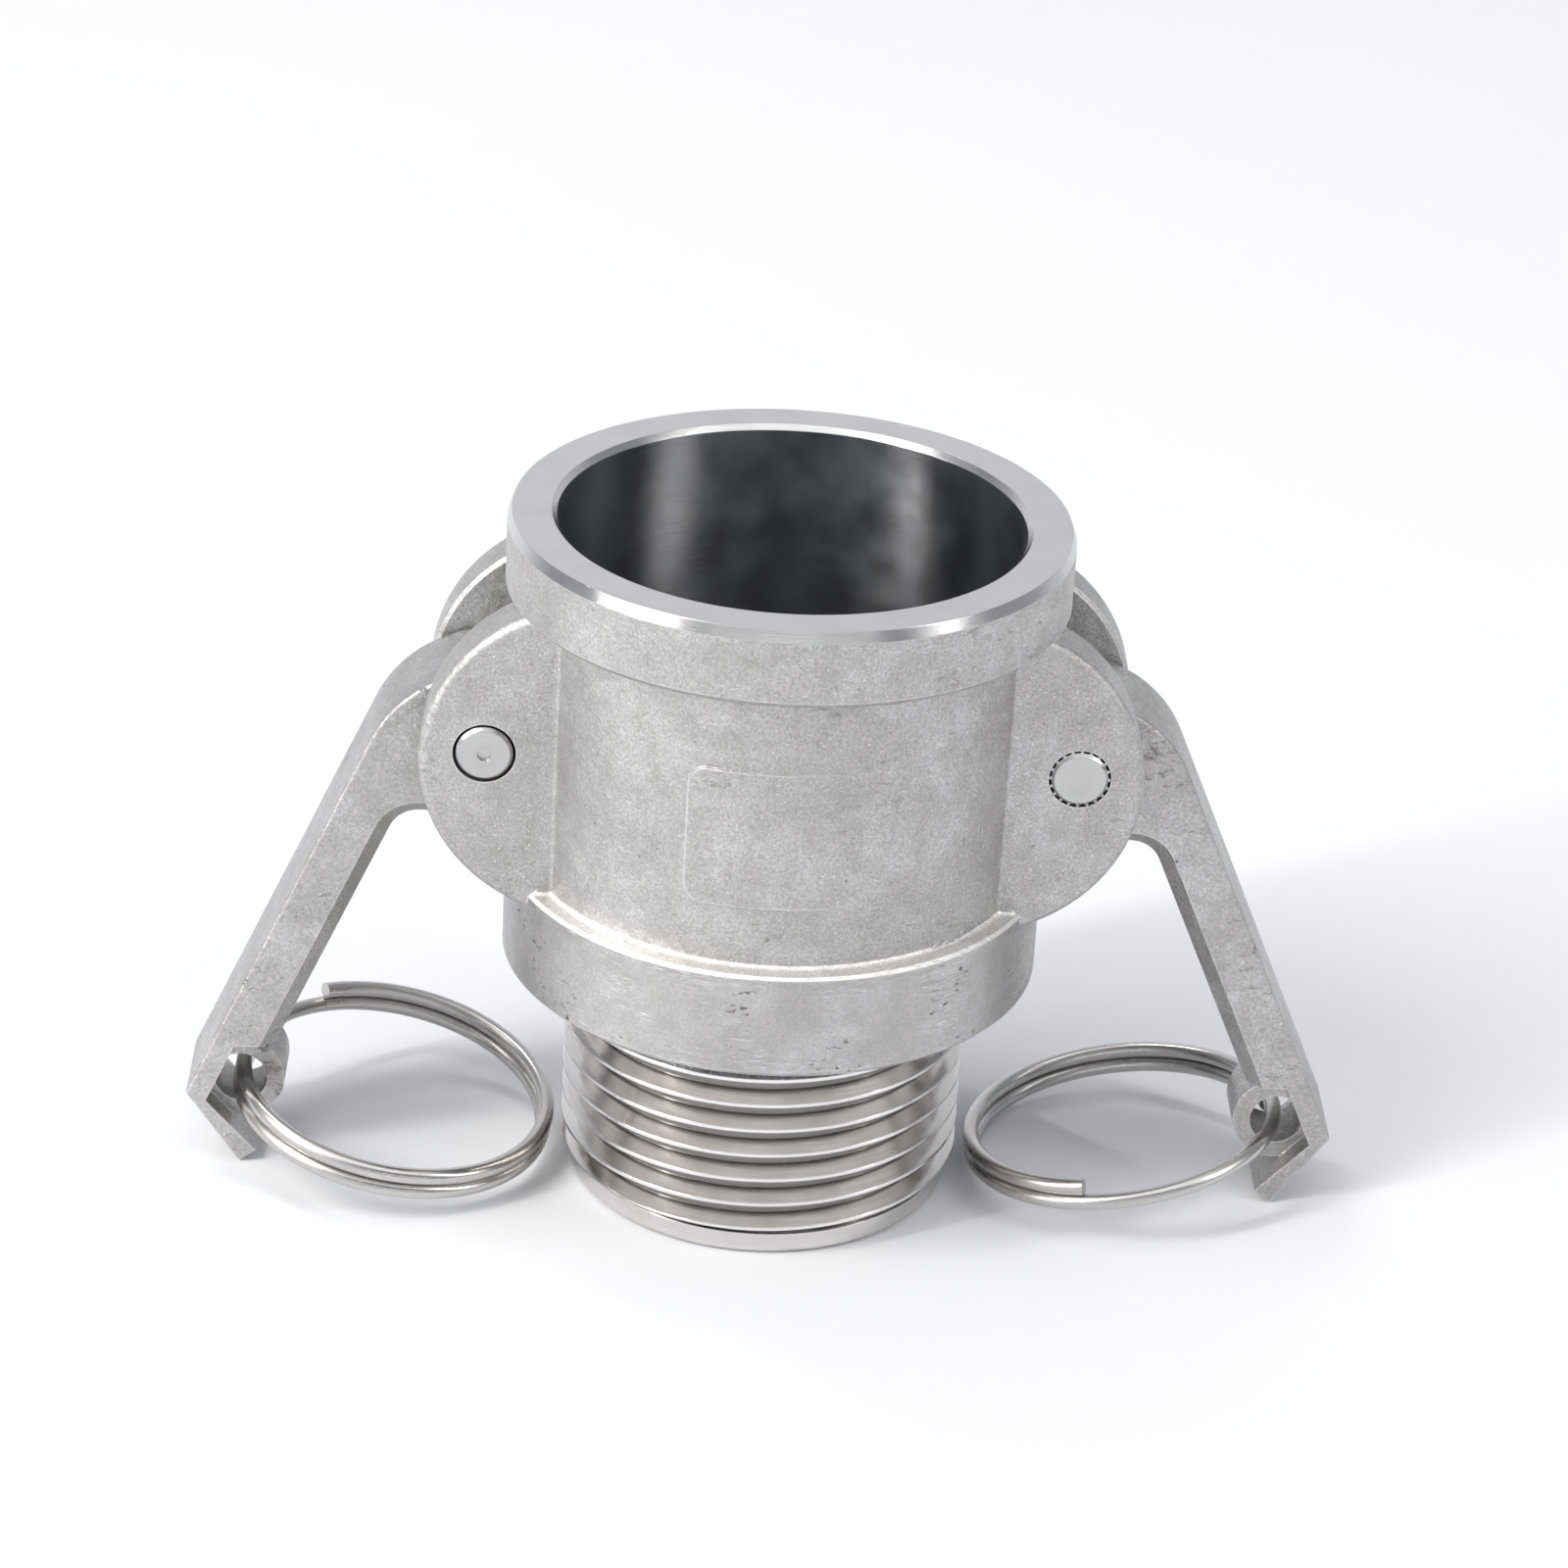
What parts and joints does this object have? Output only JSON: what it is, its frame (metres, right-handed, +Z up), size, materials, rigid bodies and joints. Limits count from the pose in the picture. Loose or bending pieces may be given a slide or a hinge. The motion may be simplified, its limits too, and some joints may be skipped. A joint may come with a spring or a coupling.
{
  "type": "camlock coupling",
  "caption": "Cam-and-groove hose coupler: a socket with swinging cam arms and pull rings above a male pipe thread, with a sealing gasket inside.",
  "frame": {"origin": "middle of the male thread's end face, where the coupler stands", "axes": "+Z up the coupler's axis out of the socket, X through both cam arms, Y along the pivot pins"},
  "size_m": [0.0954, 0.0452, 0.0589],
  "materials": {
    "cast_steel": "blasted investment casting, machined at the rim, socket and thread",
    "arm_steel": "blasted investment casting",
    "pin_steel": "drawn and faced",
    "ring_wire": "bright spring wire",
    "gasket_rubber": "matt moulded nitrile rubber"
  },
  "bodies": {
    "body": {"coupler_body": "cast_steel", "gasket": "gasket_rubber", "pivot_pin_left": "pin_steel", "pivot_pin_right": "pin_steel"},
    "arm_left": {"cam_arm_left": "arm_steel"},
    "arm_right": {"cam_arm_right": "arm_steel"},
    "ring_left": {"pull_ring_left": "ring_wire"},
    "ring_right": {"pull_ring_right": "ring_wire"}
  },
  "joints": [
    {"name": "arm_left_swing", "type": "hinge", "parent": "body", "child": "arm_left", "pos_m": [-0.02354, 0, 0.04142], "axis": [0, 1, 0], "range_deg": [0, 90]},
    {"name": "ring_left_swing", "type": "hinge", "parent": "arm_left", "child": "ring_left", "pos_m": [-0.0433, 0, 0.0067], "axis": [0, 1, 0], "range_deg": [-30, 80]},
    {"name": "arm_right_swing", "type": "hinge", "parent": "body", "child": "arm_right", "pos_m": [0.02354, 0, 0.04142], "axis": [0, -1, 0], "range_deg": [0, 90]},
    {"name": "ring_right_swing", "type": "hinge", "parent": "arm_right", "child": "ring_right", "pos_m": [0.0433, 0, 0.0067], "axis": [0, -1, 0], "range_deg": [-30, 80]}
  ]
}
